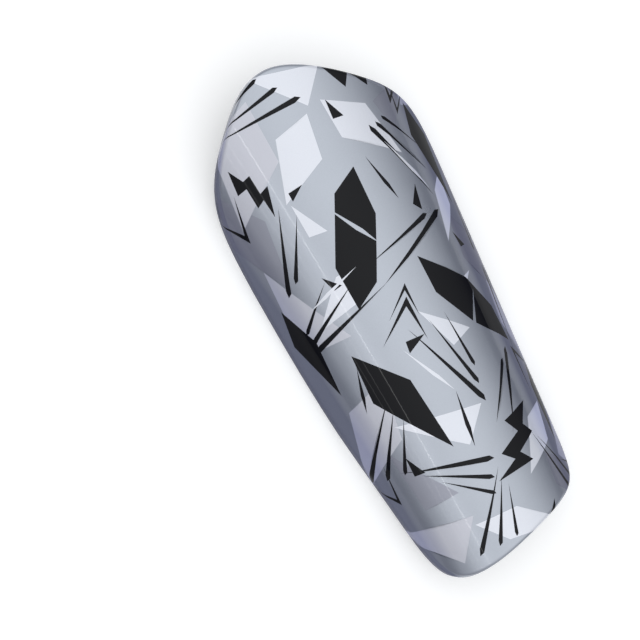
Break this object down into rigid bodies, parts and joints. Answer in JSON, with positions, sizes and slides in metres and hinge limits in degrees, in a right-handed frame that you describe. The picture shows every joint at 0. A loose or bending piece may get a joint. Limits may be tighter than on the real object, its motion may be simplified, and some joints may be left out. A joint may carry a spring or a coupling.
{
  "type": "soccer shin guard",
  "caption": "Slip-in soccer shin guard: a glossy curved shell with a slanted lower edge over a black foam pad.",
  "frame": {"origin": "under the middle of the guard, on the surface that its long edges lie on", "axes": "+X across the shin, +Y up the leg to the rounded top end, +Z out of the printed front"},
  "size_m": [0.0877, 0.2, 0.0315],
  "materials": {
    "shell": "glossy moulded plastic, silver-grey with a dark and pale angular print",
    "foam": "matte closed-cell foam, black"
  },
  "bodies": {
    "root": {"shell": "shell", "foam_backing": "foam"}
  },
  "joints": []
}
